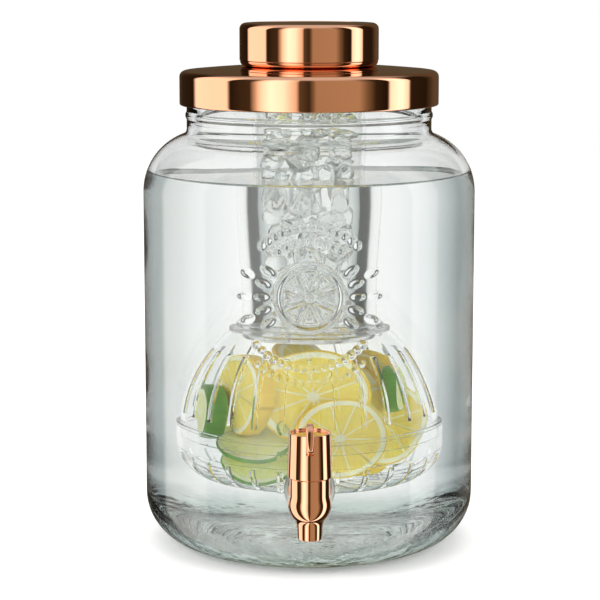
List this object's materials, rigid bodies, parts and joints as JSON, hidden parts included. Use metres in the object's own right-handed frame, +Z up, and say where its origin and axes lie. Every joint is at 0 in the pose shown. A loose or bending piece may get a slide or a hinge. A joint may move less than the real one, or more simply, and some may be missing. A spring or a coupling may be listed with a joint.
{
  "type": "beverage dispenser",
  "caption": "Glass drinks jar with a copper-coloured lid and cap, a hanging ice tube, a twist-off fruit infuser and a turning tap near the base.",
  "frame": {"origin": "centre of the jar's base, on the plane that it stands on", "axes": "+Z up along the jar's axis, the tap points along -Y, +X to the right seen from the tap's side"},
  "size_m": [0.22, 0.2725, 0.3472],
  "materials": {
    "jar_glass": "clear pressed glass with a faint green tint, glossy",
    "copper_metal": "thin steel sheet with polished copper-coloured plating, mirror bright",
    "copper_plastic": "moulded plastic with a bright copper-coloured metal coating",
    "clear_plastic": "clear moulded plastic, glossy",
    "white_plastic": "white moulded plastic, satin",
    "grey_plastic": "grey moulded plastic, fine matt",
    "clear_silicone": "translucent silicone, soft satin",
    "black_rubber": "black seal rubber, satin"
  },
  "bodies": {
    "jar": {"glass_jar": "jar_glass", "tap_body": "copper_plastic", "plug_retainer": "grey_plastic", "outer_washer": "clear_silicone", "inner_washer": "clear_silicone", "backing_washer": "grey_plastic", "tap_nut": "grey_plastic"},
    "tap_handle": {"tap_handle": "copper_plastic", "tap_plug": "white_plastic", "plug_seal_lower": "black_rubber", "plug_seal_upper": "black_rubber"},
    "lid": {"lid_shell": "copper_metal", "lid_liner": "white_plastic", "lid_seal": "clear_silicone", "lid_collar": "copper_metal", "tube_gasket": "clear_silicone", "ice_tube": "clear_plastic"},
    "cap": {"cap_shell": "copper_metal", "cap_insert": "white_plastic", "cap_seal": "clear_silicone"},
    "infuser": {"infuser_dome": "clear_plastic"},
    "bowl": {"infuser_bowl": "clear_plastic"}
  },
  "joints": [
    {"name": "lid_lift", "type": "slide", "parent": "jar", "child": "lid", "axis": [0, 0, 1], "range_m": [0, 0.35]},
    {"name": "cap_lift", "type": "slide", "parent": "lid", "child": "cap", "axis": [0, 0, 1], "range_m": [0, 0.05]},
    {"name": "infuser_twist", "type": "hinge", "parent": "lid", "child": "infuser", "pos_m": [0, 0, 0.147], "axis": [0, 0, 1], "range_deg": [0, 45]},
    {"name": "bowl_twist", "type": "hinge", "parent": "infuser", "child": "bowl", "pos_m": [0, 0, 0.073], "axis": [0, 0, 1], "range_deg": [0, 30]},
    {"name": "tap_turn", "type": "hinge", "parent": "jar", "child": "tap_handle", "pos_m": [0, -0.141, 0.09], "axis": [0, 0, 1], "range_deg": [0, 90]}
  ]
}
